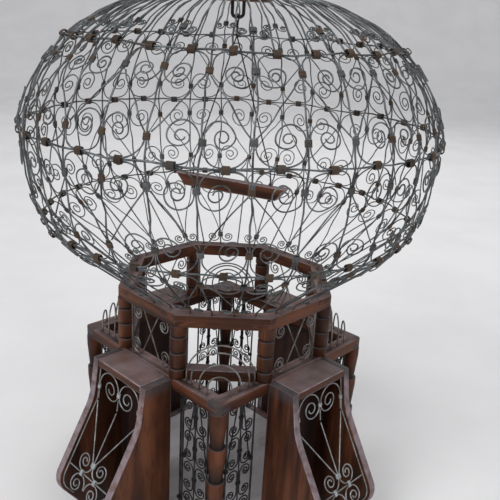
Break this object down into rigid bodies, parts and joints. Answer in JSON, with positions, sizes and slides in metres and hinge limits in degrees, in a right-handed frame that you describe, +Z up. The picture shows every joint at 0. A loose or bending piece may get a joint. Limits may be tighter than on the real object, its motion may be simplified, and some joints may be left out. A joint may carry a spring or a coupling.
{
  "type": "bird cage",
  "caption": "Domed wire bird cage with scroll work on an eight sided wooden tower and a square base with flared legs; a perch swings inside and a wire door turns on its hinge.",
  "frame": {"origin": "on the floor, under the middle of the square base", "axes": "+Z up, a corner of the square base points at the front, -Y, +X to the right"},
  "size_m": [0.4092, 0.4092, 0.546],
  "materials": {
    "turned_wood": "reddish brown varnish, worn grey on edges and top faces",
    "floor_wood": "plain dusty board",
    "galvanised_wire": "dull galvanised wire, brownish in places",
    "collar_wire": "flat wraps of rusty wire",
    "dark_iron": "dark iron wire"
  },
  "bodies": {
    "cage": {"balcony_hoops_back": "galvanised_wire", "balcony_hoops_front": "galvanised_wire", "balcony_hoops_left": "galvanised_wire", "balcony_hoops_right": "galvanised_wire", "base_panels_back_left": "galvanised_wire", "base_panels_back_right": "galvanised_wire", "base_panels_front_left": "galvanised_wire", "base_panels_front_right": "galvanised_wire", "belly_scrolls": "galvanised_wire", "cap_scrolls": "galvanised_wire", "cap_wires": "galvanised_wire", "corner_post_back": "turned_wood", "corner_post_front": "turned_wood", "corner_post_left": "turned_wood", "corner_post_right": "turned_wood", "dome_ribs": "galvanised_wire", "equator_ring": "galvanised_wire", "floor_board": "floor_wood", "floor_rails": "turned_wood", "foot_scrolls": "galvanised_wire", "frame_rail_back_left": "turned_wood", "frame_rail_back_right": "turned_wood", "frame_rail_front_left": "turned_wood", "frame_rail_front_right": "turned_wood", "hanging_link": "dark_iron", "hinge_wire": "galvanised_wire", "hub_disc": "turned_wood", "leg_backs": "turned_wood", "leg_ornament_back_left": "galvanised_wire", "leg_ornament_back_right": "galvanised_wire", "leg_ornament_front_left": "galvanised_wire", "leg_ornament_front_right": "galvanised_wire", "leg_sides_back_left": "turned_wood", "leg_sides_back_right": "turned_wood", "leg_sides_front_left": "turned_wood", "leg_sides_front_right": "turned_wood", "leg_tops": "turned_wood", "lower_lattice": "galvanised_wire", "lower_ring": "galvanised_wire", "lower_scrolls": "galvanised_wire", "middle_lattice": "galvanised_wire", "octagon_rails": "turned_wood", "rib_collars": "collar_wire", "ring_collars": "collar_wire", "shoulder_scrolls": "galvanised_wire", "sill_rails": "turned_wood", "tower_panel_back_left": "galvanised_wire", "tower_panel_back_right": "galvanised_wire", "tower_panel_front_left": "galvanised_wire", "tower_panel_front_right": "galvanised_wire", "tower_posts": "turned_wood", "upper_lattice": "galvanised_wire", "upper_ring": "galvanised_wire", "upper_scrolls": "galvanised_wire", "waist_scrolls": "galvanised_wire"},
    "swing": {"swing_wires": "dark_iron", "swing_perch": "turned_wood"},
    "door": {"door_frame": "galvanised_wire", "door_filling": "galvanised_wire"}
  },
  "joints": [
    {"name": "swing_hinge", "type": "hinge", "parent": "cage", "child": "swing", "pos_m": [0, 0, 0.49535], "axis": [0.891, -0.454, 0], "range_deg": [-35, 35]},
    {"name": "door_hinge", "type": "hinge", "parent": "cage", "child": "door", "pos_m": [-0.03642, -0.1043, 0.08], "axis": [0, 0, -1], "range_deg": [0, 85]}
  ]
}
